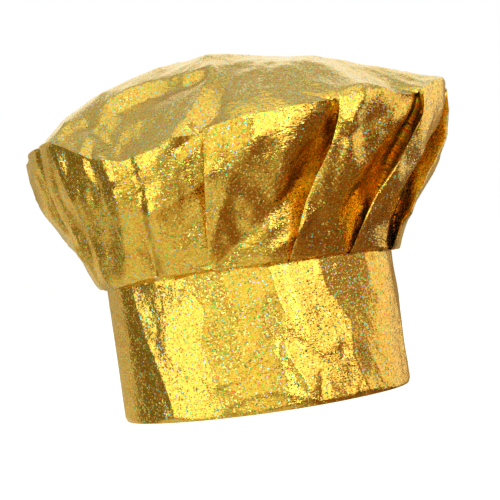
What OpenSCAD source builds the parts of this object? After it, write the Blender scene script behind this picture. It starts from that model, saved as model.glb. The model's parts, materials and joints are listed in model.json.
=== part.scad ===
// Foil party chef's hat: a stiffened oval band with a hook-and-loop closure at
// the back, and a puffed crown whose edge is held between the band's plies.
// Millimetres. +Z up, origin at the middle of the head opening, front towards -Y.

/* [Band] */
// Width of the band outside, side to side
band_w = 210; // [175:1:252]
// Depth of the band outside, front to back
band_d = 164; // [137:1:197]
// How round the sides are: their radius as a share of half the depth
side_curve = 0.83; // [0.7:0.01:0.9]
// Height of the band
band_h = 102; // [85:1:125]
// Thickness of the foil-laminated ply
cover_t = 0.4; // [0.3:0.05:0.6]
// Thickness of the board inside the band
board_t = 1.2; // [1:0.1:2]
// Thickness of the inside facing
facing_t = 0.3; // [0.2:0.05:0.5]
// Height of the cover's turned-up hem inside the band
hem_h = 18; // [12:1:22]

/* [Crown] */
// Height of the crown above the band
crown_h = 158; // [131:1:190]
// Height of the widest ring above the band
rim_h = 96; // [80:1:115]
// How far the widest ring stands out from the band
crown_flare = 51; // [42:1:61]
// Thickness of the crown's sheet
crown_t = 0.5; // [0.4:0.05:0.7]
// Thickness of its gathered edge, with the pleats pressed flat
tail_t = 0.9; // [0.7:0.1:1.1]
// How deep the gathered edge sits in the band
tail_h = 10; // [6:1:14]
// Number of pleats
pleats = 12; // [9:1:15]
// Depth of the pleats
pleat_depth = 7; // [4:0.5:9]

/* [Closure] */
// Distance of the flap's root from the middle of the back
flap_root = 24; // [20:1:29]
// Distance of the flap's free end from the middle of the back
flap_end = 32; // [28:1:38]
// How much lower than the band the flap's edges are
flap_inset = 1; // [0.6:0.2:2]
// Length over which the underlap steps inwards
step_l = 12; // [8:1:14]
// Height of both tapes
tape_h = 80; // [66:1:84]
// Width of the hook tape
hook_w = 25; // [20:1:30]
// Thickness of the hook tape
hook_t = 1.2; // [0.9:0.1:1.6]
// Width of the loop tape
loop_w = 44; // [37:1:46]
// Thickness of the loop tape
loop_t = 1.2; // [0.9:0.1:1.6]

/* [Inside] */
// Height of the sweatband
sweat_h = 26; // [22:1:31]
// Thickness of the sweatband
sweat_t = 0.6; // [0.4:0.1:1]
// Width of the blank label
label_w = 30; // [25:1:36]
// Height of the blank label
label_h = 20; // [16:1:24]
// Thickness of the folded label
label_t = 0.4; // [0.3:0.1:0.6]
// Thickness of the sewing thread
thread = 0.4; // [0.3:0.1:0.6]

/* [Hidden] */
$fn = 96;

ply_gap = 0.05;    // the glue line between two plies
tail_gap = 0.15;   // beside the gathered edge in its slot
edge_gap = 0.3;    // under the crown's free edge, above the closure
run_gap = 0.3;     // between pieces that move past each other
hem_margin = 1;    // from the bottom edge up to what is sewn inside
stitch_in = 2;     // from a tape's edge to its stitching
edge_stitch = 5;   // from the top edge down to the crown's seam stitching
label_gap = 3;     // above the sweatband
top_r = 8;         // side radius of the flat at the top of the crown
facet = 3;         // length of the flats that follow the oval
pleat_steps = 8;   // flats to each pleat
curve_steps = 9;   // flats to each half of the crown's section

// Colours
foil_gold = [0.83, 0.66, 0.20];
board_grey = [0.72, 0.69, 0.62];
backing_white = [0.93, 0.92, 0.88];
tape_white = [0.88, 0.86, 0.80];
thread_gold = [0.76, 0.60, 0.22];

// Layers, as offsets from the band's outside; outwards is positive. The inner ply
// clears the deeper of the board and the gathered edge above it.
board_out = -cover_t - ply_gap;
inner_ply = -cover_t - max(board_t + 2 * ply_gap, tail_t + 2 * tail_gap);
stack_t = -inner_ply + cover_t;
facing_in = inner_ply - facing_t;
tail_out = -cover_t - tail_gap;
board_top = band_h - tail_h - hem_margin;
lap_drop = stack_t + hook_t + loop_t + 3 * ply_gap;
sweat_out = -stack_t - ply_gap;
sweat_in = sweat_out - sweat_t;
flap_lo = flap_inset;
flap_hi = band_h - flap_inset;
tape_lo = (band_h - tape_h) / 2;

// The oval: two side arcs and two flatter arcs, tangent to each other
half_w = band_w / 2;
half_d = band_d / 2;
side_r = half_d * side_curve;
reach = half_w - side_r;
flat_r = (half_d ^ 2 + reach ^ 2 - side_r ^ 2) / (2 * (half_d - side_r));
set_back = flat_r - half_d;
flat_turn = atan2(reach, set_back);
side_turn = 180 - 2 * flat_turn;

function arc_length(r, degrees) = r * degrees * PI / 180;
function arc_degrees(r, length) = length / r * 180 / PI;

back_l = arc_length(flat_r, flat_turn);
side_l = arc_length(side_r, side_turn);
perimeter = 4 * back_l + 2 * side_l;

// Each arc: centre x, centre y, radius, first angle, where it starts along the
// outline, length. The outline runs clockwise from above, from the middle of the back.
ARCS = [
    [0, -set_back, flat_r, 90, 0, back_l],
    [reach, 0, side_r, 90 - flat_turn, back_l, side_l],
    [0, set_back, flat_r, flat_turn - 90, back_l + side_l, 2 * back_l],
    [-reach, 0, side_r, -90 - flat_turn, 3 * back_l + side_l, side_l],
    [0, -set_back, flat_r, 90 + flat_turn, 3 * back_l + 2 * side_l, back_l],
];

band_from = flap_root;                        // the band's end at the flap's root
band_to = perimeter - flap_end - 1 - step_l;  // where the other end starts to step in
lap_from = -flap_end - 1;                     // the underlap, from the middle of the back
lap_to = flap_root - 2;

// The point beside the outline at u along it and off outwards
function beside(u, off) =
    let (
        v = u < perimeter ? u : u - perimeter,
        arc = [for (a = ARCS) if (v >= a[4] && v <= a[4] + a[5]) a][0],
        turn = arc[3] - arc_degrees(arc[2], v - arc[4])
    )
    [arc[0] + (arc[2] + off) * cos(turn), arc[1] + (arc[2] + off) * sin(turn)];

// How far the band has stepped inwards at u, easing in over the step
function stepped(u) =
    let (share = min(1, max(0, (u - band_to) / step_l)))
    lap_drop * share * share * (3 - 2 * share);

// Places along the outline from one to another, one facet apart
function places(from, to) =
    let (n = ceil((to - from) / facet))
    [for (i = [0:n]) from + (to - from) * i / n];

// A strip of the band seen from above, between two offsets
function strip(from, to, in, out) =
    let (at = places(from, to), n = len(at) - 1)
    [
        for (u = at) beside(u, out - stepped(u)),
        for (i = [n:-1:0]) beside(at[i], in - stepped(at[i])),
    ];

module wall(from, to, in, out, low, high) {
    translate([0, 0, low])
        linear_extrude(high - low)
            polygon(strip(from, to, in, out));
}

// A ply of the band: the ring from the flap's root round to the step, the step
// inwards, and the underlap
module ply(in, out, low, high) {
    wall(band_from, perimeter + lap_to, in, out, low, high);
}

// Sweeps a profile of [offset, height] along the back, between two distances from
// its middle
module along_back(from, to) {
    turn = arc_degrees(flat_r, to - from);
    translate([0, -set_back, 0])
        rotate([0, 0, 90 - arc_degrees(flat_r, to)])
            rotate_extrude(angle = turn)
                translate([flat_r, 0])
                    children();
}

module rect(in, out, low, high) {
    translate([in, low])
        square([out - in, high - low]);
}

// A rectangle of stitching on the back, standing out from an offset by one thread
module box_stitch(from, to, low, high, in) {
    along_back(from, to) {
        rect(in, in + thread, low, low + thread);
        rect(in, in + thread, high - thread, high);
    }
    for (t = [from, to - thread])
        along_back(t, t + thread)
            rect(in, in + thread, low, high);
}

// The cover's section: up the outside, over the top, down to the bottom edge's
// fold, across it and up the hem inside
COVER = [
    [0, 0], [0, band_h], [-cover_t, band_h], [-cover_t, cover_t],
    [-stack_t + cover_t, cover_t], [-stack_t + cover_t, hem_h],
    [-stack_t, hem_h], [-stack_t, 0],
];
COVER_END = [[0, 1, 2, 3], [0, 3, 4, 7], [4, 5, 6, 7]];

// A step from one point of a swept section to the next, as a face between places
function swept_face(i, next, j, count) =
    let (up = (j + 1) % count)
    [i * count + j, next * count + j, next * count + up, i * count + up];

module band_cover() {
    at = places(band_from, perimeter + lap_to);
    last = len(at) - 1;
    count = len(COVER);
    color(foil_gold)
        polyhedron(
            points = [
                for (u = at)
                    for (p = COVER)
                        let (b = beside(u, p[0] - stepped(u)))
                        [b[0], b[1], p[1]],
            ],
            faces = [
                for (i = [0:last - 1])
                    for (j = [0:count - 1]) swept_face(i, i + 1, j, count),
                for (f = COVER_END) f,
                for (f = COVER_END) [for (k = [3:-1:0]) last * count + f[k]],
            ]
        );
}

module band_stiffener() {
    color(board_grey)
        ply(board_out - board_t, board_out, cover_t + ply_gap, board_top);
}

module band_facing() {
    color(backing_white)
        ply(facing_in, inner_ply, hem_h + ply_gap, band_h);
}

module sweatband() {
    color(tape_white)
        wall(
            band_from + 1, band_to - 1, sweat_in, sweat_out,
            hem_margin, hem_margin + sweat_h
        );
}

module sweatband_stitching() {
    low = hem_margin + stitch_in;
    out = sweat_in - ply_gap;
    color(thread_gold)
        wall(band_from + 2, band_to - 2, out - thread, out, low, low + thread);
}

module crown_seam_stitching() {
    high = band_h - edge_stitch;
    out = facing_in - ply_gap;
    color(thread_gold)
        wall(band_from + 2, band_to - 2, out - thread, out, high - thread, high);
}

loop_from = lap_from + 2;
hook_from = -flap_end + 3;

module loop_tape() {
    color(tape_white)
        along_back(loop_from, loop_from + loop_w)
            rect(-lap_drop + ply_gap, -lap_drop + ply_gap + loop_t, tape_lo, tape_lo + tape_h);
}

module loop_tape_stitching() {
    color(thread_gold)
        box_stitch(
            loop_from + stitch_in, loop_from + loop_w - stitch_in,
            tape_lo + stitch_in, tape_lo + tape_h - stitch_in,
            -lap_drop - stack_t - ply_gap - thread
        );
}

module size_label() {
    low = hem_margin + sweat_h + label_gap;
    from = band_from + label_w / 2;
    out = facing_in - ply_gap;
    color(backing_white)
        wall(from, from + label_w, out - label_t, out, low, low + label_h);
}

module flap_cover() {
    color(foil_gold) {
        along_back(-flap_end, flap_root - run_gap) {
            rect(-cover_t, 0, flap_lo, flap_hi);
            rect(-stack_t, 0, flap_lo, flap_lo + cover_t);
            rect(-stack_t, 0, flap_hi - cover_t, flap_hi);
        }
        along_back(-flap_end, -flap_end + cover_t)
            rect(-stack_t, 0, flap_lo, flap_hi);
    }
}

module flap_core(in, out) {
    along_back(-flap_end + cover_t + ply_gap, flap_root - run_gap)
        rect(in, out, flap_lo + cover_t + ply_gap, flap_hi - cover_t - ply_gap);
}

module flap_stiffener() {
    color(board_grey)
        flap_core(board_out - board_t, board_out);
}

module flap_facing() {
    color(backing_white)
        flap_core(facing_in, inner_ply);
}

module hook_tape() {
    color(tape_white)
        along_back(hook_from, hook_from + hook_w)
            rect(-stack_t - ply_gap - hook_t, -stack_t - ply_gap, tape_lo, tape_lo + tape_h);
}

module hook_tape_stitching() {
    color(thread_gold)
        box_stitch(
            hook_from + stitch_in, hook_from + hook_w - stitch_in,
            tape_lo + stitch_in, tape_lo + tape_h - stitch_in,
            ply_gap
        );
}

// The crown's outline in section, as [offset, height]: one curve from the seam out
// to the widest ring, and one from there in to the flat at the top
seam_z = band_h + 0.5;
rim_z = band_h + rim_h;
top_z = band_h + crown_h;
SIDE = [
    [tail_out, seam_z],
    [crown_flare * 0.4, seam_z + rim_h * 0.24],
    [crown_flare, rim_z - rim_h * 0.3],
    [crown_flare, rim_z],
];
TOP = [
    [crown_flare, rim_z],
    [crown_flare, rim_z + (top_z - rim_z) * 0.28],
    [crown_flare * 0.2, top_z - (top_z - rim_z) * 0.17],
    [top_r - side_r, top_z],
];

function bezier(p, t) =
    p[0] * (1 - t) ^ 3 + 3 * p[1] * t * (1 - t) ^ 2 + 3 * p[2] * t ^ 2 * (1 - t) + p[3] * t ^ 3;
function slope(p, t) =
    3 * ((p[1] - p[0]) * (1 - t) ^ 2 + 2 * (p[2] - p[1]) * t * (1 - t) + (p[3] - p[2]) * t ^ 2);
// The point at depth behind the curve, towards the inside of the crown
function behind(p, t, depth) =
    let (s = slope(p, t))
    bezier(p, t) + depth * [-s[1], s[0]] / norm(s);

// Where the crown's edge ends: down in the band, or just above it over the closure
pleat_facet = perimeter / (pleats * pleat_steps);
function edge_z(u) =
    u > band_from + pleat_facet && u < band_to - pleat_facet
        ? band_h - tail_h
        : band_h + edge_gap;

// The pleats are deepest a third of the way up, and fade out at both ends
function pleat(u, share) =
    let (wave = (1 - cos(360 * pleats * u / perimeter)) / 2)
    pleat_depth * wave * 2.6 * sqrt(share) * (1 - share);

// The crown's section at u: up the outside to the flat at the top, down the inside
function crown_section(u) =
    let (n = curve_steps)
    [
        [tail_out, edge_z(u)],
        for (i = [0:n]) behind(SIDE, i / n, 0) - [pleat(u, i / n), 0],
        for (i = [1:n]) behind(TOP, i / n, 0),
        for (i = [n:-1:1]) behind(TOP, i / n, crown_t),
        for (i = [n:-1:1]) behind(SIDE, i / n, crown_t) - [pleat(u, i / n), 0],
        [tail_out - tail_t, seam_z],
        [tail_out - tail_t, edge_z(u)],
    ];

module crown() {
    rounds = pleats * pleat_steps;
    around = [for (i = [0:rounds - 1]) perimeter * i / rounds];
    count = len(crown_section(0));
    top = 2 * curve_steps + 1;
    color(foil_gold)
        polyhedron(
            points = [
                for (u = around)
                    for (p = crown_section(u))
                        let (at = beside(u, p[0]))
                        [at[0], at[1], p[1]],
            ],
            faces = [
                for (i = [0:rounds - 1])
                    for (j = [0:count - 1])
                        if (j != top) swept_face(i, (i + 1) % rounds, j, count),
                [for (i = [0:rounds - 1]) i * count + top],
                [for (i = [rounds - 1:-1:0]) i * count + top + 1],
            ]
        );
}

band_cover();
band_stiffener();
band_facing();
sweatband();
sweatband_stitching();
crown_seam_stitching();
loop_tape();
loop_tape_stitching();
size_label();
crown();
flap_cover();
flap_stiffener();
flap_facing();
hook_tape();
hook_tape_stitching();
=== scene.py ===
"""A gold foil party hat shaped like a chef's toque.

Lengths are in metres unless a name ends in _mm. The frame is the CAD model's: +Z up,
the middle of the head opening at the origin, the front towards -Y, the closure at +Y.
"""

from __future__ import annotations

import json
import logging
import math
from dataclasses import dataclass, field
from enum import Enum
from typing import Callable, Sequence

import bpy
import numpy as np
from bpy.types import Material, Mesh, MeshVertex, Node, NodeSocket, NodeTree, Object
from mathutils import Matrix, Vector, noise

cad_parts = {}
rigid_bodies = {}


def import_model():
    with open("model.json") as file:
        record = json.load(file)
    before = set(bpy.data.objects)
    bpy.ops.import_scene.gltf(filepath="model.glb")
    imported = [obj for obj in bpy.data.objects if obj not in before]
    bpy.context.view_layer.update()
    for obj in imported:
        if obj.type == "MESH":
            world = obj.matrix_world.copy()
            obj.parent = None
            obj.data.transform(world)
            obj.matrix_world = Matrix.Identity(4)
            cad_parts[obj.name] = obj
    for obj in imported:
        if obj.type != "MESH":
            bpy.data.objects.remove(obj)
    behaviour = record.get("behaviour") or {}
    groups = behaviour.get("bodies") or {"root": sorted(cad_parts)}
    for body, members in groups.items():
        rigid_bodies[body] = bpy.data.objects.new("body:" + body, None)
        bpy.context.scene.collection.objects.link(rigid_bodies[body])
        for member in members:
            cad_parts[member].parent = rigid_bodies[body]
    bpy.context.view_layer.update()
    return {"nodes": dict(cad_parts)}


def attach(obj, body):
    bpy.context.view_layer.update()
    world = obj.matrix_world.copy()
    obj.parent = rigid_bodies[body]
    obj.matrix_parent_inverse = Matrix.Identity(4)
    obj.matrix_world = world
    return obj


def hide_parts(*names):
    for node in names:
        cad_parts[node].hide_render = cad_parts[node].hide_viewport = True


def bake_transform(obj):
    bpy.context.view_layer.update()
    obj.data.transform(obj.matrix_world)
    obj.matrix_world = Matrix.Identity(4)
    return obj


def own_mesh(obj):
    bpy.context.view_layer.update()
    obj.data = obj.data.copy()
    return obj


MM = 0.001
SHEET_SHARP = 50  # degrees; sharper edges of a sheet stay sharp
SMALL_SHARP = 60  # degrees; the same for threads, hooks and loops
LEAST_SHARE = 0.02  # of a sheet's thickness, where it is thinnest
STITCH_PITCH = 0.0033
log = logging.getLogger("hat")
Array = np.ndarray
Shape = tuple[Array, list[list[int]]]
Colour = tuple[float, float, float, float]
Warp = Callable[[Array, Array], Array]


# ---------------------------------------------------------------- small tools


def linear(hex_colour: str) -> Colour:
    """Turns an sRGB hex colour into Blender's linear RGBA.

    Args:
        hex_colour: six hex digits, with or without a leading #.

    Returns:
        The linear colour, with alpha 1.
    """
    digits = hex_colour.lstrip("#")
    parts = [int(digits[i : i + 2], 16) / 255 for i in (0, 2, 4)]
    lin = [c / 12.92 if c <= 0.04045 else ((c + 0.055) / 1.055) ** 2.4 for c in parts]
    return (lin[0], lin[1], lin[2], 1.0)


def ease(x: Array | float, low: float, high: float) -> Array | float:
    """Rises smoothly from 0 at low to 1 at high."""
    t = np.clip((np.asarray(x, float) - low) / (high - low), 0, 1)
    return t * t * (3 - 2 * t)


def through(x: Array, stops: Sequence[float], values: Sequence[Array | float]) -> Array:
    """Runs a smooth curve through values at stops (Catmull-Rom, clamped ends).

    Args:
        x: where to read the curve.
        stops: rising places.
        values: one number or array for each stop.

    Returns:
        The curve's value at each x.
    """
    x = np.asarray(x, float)
    s = np.asarray(stops, float)
    v = np.stack([np.broadcast_to(np.asarray(a, float), x.shape) for a in values])
    last = len(s) - 1
    slope = []
    for i in range(last + 1):
        after, before = min(i + 1, last), max(i - 1, 0)
        slope.append((v[after] - v[before]) / (s[after] - s[before]))
    slope = np.stack(slope)
    i = np.clip(np.searchsorted(s, x, side="right") - 1, 0, last - 1)
    h = s[i + 1] - s[i]
    t = np.clip((x - s[i]) / h, 0, 1)
    here, there = (i, *np.indices(x.shape)), (i + 1, *np.indices(x.shape))
    ends = (2 * t**3 - 3 * t**2 + 1) * v[here] + (3 * t**2 - 2 * t**3) * v[there]
    return ends + ((t**3 - 2 * t**2 + t) * slope[here] + (t**3 - t**2) * slope[there]) * h


def ridges(points: Array, size: float, seed: float) -> Array:
    """Reads ridged noise at points: smooth noise folded at zero, which gives creases.

    Args:
        points: positions, one row each.
        size: the noise's feature size, in the points' unit.
        seed: moves the noise elsewhere.

    Returns:
        One value for each point, 0.5 on a crease and about -0.5 between creases.
    """
    shift = Vector((seed * 7.3, seed * 3.1 + 11, seed * 5.7 - 4))
    return 0.5 - 2.2 * np.abs([noise.noise(Vector(p) / size + shift) for p in points])


# ---------------------------------------------------------------- the oval


@dataclass(frozen=True)
class Outline:
    """The band's plan: an oval of four arcs, two round sides and two flatter faces.

    side_curve is the sides' radius as a share of half the depth.
    """

    width: float = 0.210
    depth: float = 0.164
    side_curve: float = 0.83

    def arcs(self) -> dict[str, Array]:
        """Gives each arc's centre, radius, first angle and start, from the back's middle."""
        half_w, half_d = self.width / 2, self.depth / 2
        side = half_d * self.side_curve
        reach = half_w - side
        flat = (half_d**2 + reach**2 - side**2) / (2 * (half_d - side))
        back = flat - half_d
        turn = math.atan2(reach, back)
        flat_l, side_l = flat * turn, side * (math.pi - 2 * turn)
        quarter = math.pi / 2
        return {
            "x": np.array([0, reach, 0, -reach, 0]),
            "y": np.array([-back, 0, back, 0, -back]),
            "r": np.array([flat, side, flat, side, flat]),
            "first": np.array([quarter, quarter - turn, turn - quarter, -quarter - turn, quarter + turn]),
            "start": np.cumsum([0, flat_l, side_l, 2 * flat_l, side_l]),
            "whole": np.array(4 * flat_l + 2 * side_l),
        }

    @property
    def perimeter(self) -> float:
        """The length once round the outside."""
        return float(self.arcs()["whole"])

    def beside(self, u: Array, off: Array | float) -> tuple[Array, Array]:
        """Gives points at u along the outline, off outwards from it.

        Args:
            u: distances clockwise from the middle of the back.
            off: how far outside the outline.

        Returns:
            The x and y of each point.
        """
        a = self.arcs()
        u = np.mod(np.asarray(u, float), a["whole"])
        i = np.clip(np.searchsorted(a["start"], u, side="right") - 1, 0, 4)
        angle = a["first"][i] - (u - a["start"][i]) / a["r"][i]
        radius = a["r"][i] + off
        return a["x"][i] + radius * np.cos(angle), a["y"][i] + radius * np.sin(angle)


# ---------------------------------------------------------------- making meshes


@dataclass
class Sheet:
    """A grid of points that becomes a sheet: rows of places across, joined in quads."""

    points: Array
    flat: Array
    wrap: bool = False

    def build(self, name: str, finishes: Sequence[Material], thickness: float = 0.0) -> Object:
        """Makes the sheet's object.

        Args:
            name: the piece's name.
            finishes: the outside's material, then the inside's if it has one.
            thickness: how far it grows inwards, 0 for an open surface.

        Returns:
            The object, with its flat plan as its UV map in metres.
        """
        rows, across = self.points.shape[:2]
        index = np.arange(rows * across).reshape(rows, across)
        right = np.roll(index, -1, axis=1) if self.wrap else index[:, 1:]
        left = index if self.wrap else index[:, :-1]
        quads = np.stack([left[:-1], right[:-1], right[1:], left[1:]], axis=-1).reshape(-1, 4)
        mesh = bpy.data.meshes.new(name)
        mesh.from_pydata(self.points.reshape(-1, 3).tolist(), [], quads.tolist())
        obj = place(name, mesh, finishes)
        layer = mesh.uv_layers.new(name="flat")
        corners = np.empty(len(mesh.loops), dtype=np.int32)
        mesh.loops.foreach_get("vertex_index", corners)
        layer.data.foreach_set("uv", self.flat.reshape(-1, 2)[corners].astype(np.float32).ravel())
        if thickness:
            thicken(obj, thickness, len(finishes) > 1)
        smooth(obj, SHEET_SHARP)
        return obj


def columns_of(path: Sequence[tuple[float, float]]) -> tuple[Array, Array]:
    """Splits a path into its offsets and its heights, as columns."""
    table = np.array(path)
    return table[:, :1], table[:, 1:]


def running(lengths: Array) -> Array:
    """Adds lengths up from 0."""
    return np.concatenate([[0], np.cumsum(lengths)])


def laid_flat(across: Array, up: Array) -> Array:
    """Makes a flat plan from the places across a sheet and up it."""
    return np.stack(np.broadcast_arrays(across[None, :], up[:, None]), axis=-1)


def place(name: str, mesh: Mesh, finishes: Sequence[Material]) -> Object:
    """Puts a mesh into the scene with its materials."""
    obj = bpy.data.objects.new(name, mesh)
    bpy.context.scene.collection.objects.link(obj)
    for finish in finishes:
        mesh.materials.append(finish)
    return obj


def only(obj: Object | None) -> None:
    """Selects one object and nothing else, or nothing at all."""
    for other in bpy.context.view_layer.objects:
        other.select_set(False)
    if obj:
        obj.select_set(True)
    bpy.context.view_layer.objects.active = obj


def select_where(obj: Object, test: Callable[[MeshVertex], bool]) -> None:
    """Selects, in edit mode, the vertices that pass a test."""
    bpy.ops.object.mode_set(mode="EDIT")
    bpy.ops.mesh.select_mode(type="VERT")
    bpy.ops.mesh.select_all(action="DESELECT")
    bpy.ops.object.mode_set(mode="OBJECT")
    for vertex in obj.data.vertices:
        vertex.select = test(vertex)
    bpy.ops.object.mode_set(mode="EDIT")


def thicken(obj: Object, thickness: float, two_sided: bool, thin: Array | None = None) -> None:
    """Gives a sheet its thickness inwards, with the second material on the far side.

    Args:
        obj: the sheet.
        thickness: its thickness.
        two_sided: whether the far side has the second material.
        thin: a share of the thickness for each vertex, less at sharp folds.
    """
    only(obj)
    solid = obj.modifiers.new("thickness", "SOLIDIFY")
    if thin is not None:
        group = obj.vertex_groups.new(name="thickness")
        for level in np.unique(thin):
            group.add(np.flatnonzero(thin == level).tolist(), float(level), "REPLACE")
        solid.vertex_group = group.name
        solid.thickness_vertex_group = LEAST_SHARE
    solid.thickness = thickness
    solid.offset = -1.0
    solid.use_even_offset = False
    solid.material_offset = 1 if two_sided else 0
    bpy.ops.object.modifier_apply(modifier=solid.name)


def smooth(obj: Object, degrees: float) -> None:
    """Shades an object smooth, apart from edges sharper than degrees."""
    only(obj)
    bpy.ops.object.shade_smooth_by_angle(angle=math.radians(degrees))


# ---------------------------------------------------------------- finishes


def add(tree: NodeTree, kind: str, inputs: dict | None = None, **settings: object) -> Node:
    """Adds one node, with its settings, and links or sets its inputs.

    Args:
        tree: the node tree.
        kind: the node's type name after ShaderNode, such as Math.
        inputs: input name or number to a value or to the socket that feeds it.
        **settings: attributes of the node.

    Returns:
        The node.
    """
    node = tree.nodes.new(f"ShaderNode{kind}")
    for key, value in settings.items():
        setattr(node, key, value)
    for key, value in (inputs or {}).items():
        if isinstance(value, NodeSocket):
            tree.links.new(value, node.inputs[key])
        else:
            node.inputs[key].default_value = value
    return node


def maths(tree: NodeTree, operation: str, *values: float | NodeSocket) -> NodeSocket:
    """Adds a Math node and gives its result."""
    return add(tree, "Math", dict(enumerate(values)), operation=operation).outputs[0]


def vectors(tree: NodeTree, operation: str, *values: Sequence[float] | NodeSocket) -> NodeSocket:
    """Adds a Vector Math node and gives its result."""
    return add(tree, "VectorMath", dict(enumerate(values)), operation=operation).outputs[0]


def rise(tree: NodeTree, value: NodeSocket, low: float, high: float) -> NodeSocket:
    """Rises smoothly from 0 where the value is low to 1 where it is high."""
    inputs = {0: value, 1: low, 2: high}
    return add(tree, "MapRange", inputs, interpolation_type="SMOOTHSTEP").outputs[0]


def mix(tree: NodeTree, share: NodeSocket, first: NodeSocket, second: Colour | NodeSocket) -> NodeSocket:
    """Mixes two colours."""
    return add(tree, "Mix", {0: share, 6: first, 7: second}, data_type="RGBA").outputs[2]


def clouds(tree: NodeTree, at: NodeSocket, size_mm: float, **inputs: float) -> NodeSocket:
    """Adds soft noise of a feature size, read at a place."""
    return add(tree, "TexNoise", {"Vector": at, "Scale": 1 / (size_mm * MM), **inputs}).outputs[0]


def cells(tree: NodeTree, at: NodeSocket, size_mm: float, randomness: float) -> Node:
    """Adds cells of a size, read at a place."""
    return add(tree, "TexVoronoi", {"Vector": at, "Scale": 1 / (size_mm * MM), "Randomness": randomness})


def bump(
    tree: NodeTree, height: NodeSocket, distance: float, strength: float, **over: NodeSocket
) -> NodeSocket:
    """Turns a height into a bumped normal, over another Normal if one is given."""
    inputs = {"Height": height, "Distance": distance, "Strength": strength, **over}
    return add(tree, "Bump", inputs).outputs[0]


def ramp(
    tree: NodeTree, factor: NodeSocket, stops: Sequence[tuple[float, str]], constant: bool = False
) -> NodeSocket:
    """Adds a colour ramp with stops of (place, hex colour)."""
    node = add(tree, "ValToRGB", {"Fac": factor})
    node.color_ramp.interpolation = "CONSTANT" if constant else "LINEAR"
    elements = node.color_ramp.elements
    while len(elements) < len(stops):
        elements.new(0.5)
    for element, (place_at, colour) in zip(elements, stops):
        element.position = place_at
        element.color = linear(colour)
    return node.outputs[0]


@dataclass(frozen=True)
class Finish:
    """A material with a principled shader; each kind says what feeds the shader."""

    name: str

    def make(self) -> Material:
        """Builds the material."""
        material = bpy.data.materials.new(self.name)
        material.use_nodes = True
        tree = material.node_tree
        tree.nodes.clear()
        shader = add(tree, "BsdfPrincipled", self.inputs(tree, add(tree, "TexCoord")))
        add(tree, "OutputMaterial", {"Surface": shader.outputs[0]})
        return material

    def inputs(self, tree: NodeTree, coordinates: Node) -> dict:
        """Adds the nodes that feed the shader, and gives its inputs."""
        raise NotImplementedError


@dataclass(frozen=True)
class FlakedFoil(Finish):
    """Gold metallised polyester film over a non-woven, embossed with a glitter hologram.

    Vacuum-coated film is a true metal to the eye. The emboss breaks it into cells about
    a millimetre across, and each cell throws its own colour in its own direction.
    """

    name: str = "gold hologram foil"
    golds: tuple[tuple[float, str], ...] = ((0.0, "#E0AC34"), (0.5, "#F2C646"), (1.0, "#FAD75E"))
    fleck_mm: float = 0.85
    # Two cells in three are plain. The rest are mostly yellow, then orange and green,
    # and a few blue and pink.
    plain_share: float = 0.66
    flecks: tuple[tuple[float, str], ...] = (
        (0.0, "#FFF08C"), (0.24, "#FFDF55"), (0.42, "#FF9C3C"), (0.57, "#BCEB44"),
        (0.72, "#62DC84"), (0.84, "#FF7A58"), (0.91, "#84DDEA"), (0.97, "#D8C2FA"),
    )
    fleck_tilt: float = 0.40
    plain_tilt: float = 0.06
    roughness: float = 0.17
    fleck_spread: float = 0.08
    crumple_mm: float = 9.0
    crumple: float = 0.18
    hatch_turn: tuple[float, float, float] = (0.0, 0.6, 0.25)
    hatch_scale: tuple[float, float, float] = (150.0, 500.0, 1100.0)
    film: float = 0.3
    film_roughness: float = 0.35

    def inputs(self, tree: NodeTree, coordinates: Node) -> dict:
        """Adds the nodes that feed the shader, and gives its inputs."""
        at = coordinates.outputs["Object"]
        cell = cells(tree, at, self.fleck_mm, 1.0).outputs["Color"]
        chance = add(tree, "SeparateColor", {"Color": cell})
        is_fleck = maths(tree, "GREATER_THAN", chance.outputs[1], self.plain_share)
        fleck = ramp(tree, chance.outputs[0], self.flecks, constant=True)
        plain = ramp(tree, chance.outputs[0], self.golds)
        # Soft crumples of the film, and fine hatching from the non-woven under it.
        large = clouds(tree, at, self.crumple_mm, Detail=3.0, Roughness=0.55)
        crease = maths(tree, "ABSOLUTE", maths(tree, "SUBTRACT", large, 0.5))
        hatch = {"Vector": at, "Rotation": self.hatch_turn, "Scale": self.hatch_scale}
        stretched = add(tree, "Mapping", hatch).outputs[0]
        fine = add(tree, "TexNoise", {"Vector": stretched, "Scale": 1.0, "Detail": 1.0}).outputs[0]
        hatched = bump(tree, fine, 0.0003, 0.5, Normal=bump(tree, crease, 0.004, self.crumple))
        # Each cell leans its own way, the flecks more than the plain ones.
        lean = vectors(tree, "SUBTRACT", cell, (0.5, 0.5, 0.5))
        reach = maths(tree, "MULTIPLY_ADD", is_fleck, self.fleck_tilt, self.plain_tilt)
        leaned = add(tree, "VectorMath", {0: lean, "Scale": reach}, operation="SCALE").outputs[0]
        return {
            "Base Color": mix(tree, is_fleck, plain, fleck),
            "Metallic": 1.0,
            "Roughness": maths(tree, "MULTIPLY_ADD", is_fleck, self.fleck_spread, self.roughness),
            "Normal": vectors(tree, "NORMALIZE", vectors(tree, "ADD", hatched, leaned)),
            "Coat Weight": self.film, "Coat Roughness": self.film_roughness, "Coat IOR": 1.57,
        }


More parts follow.
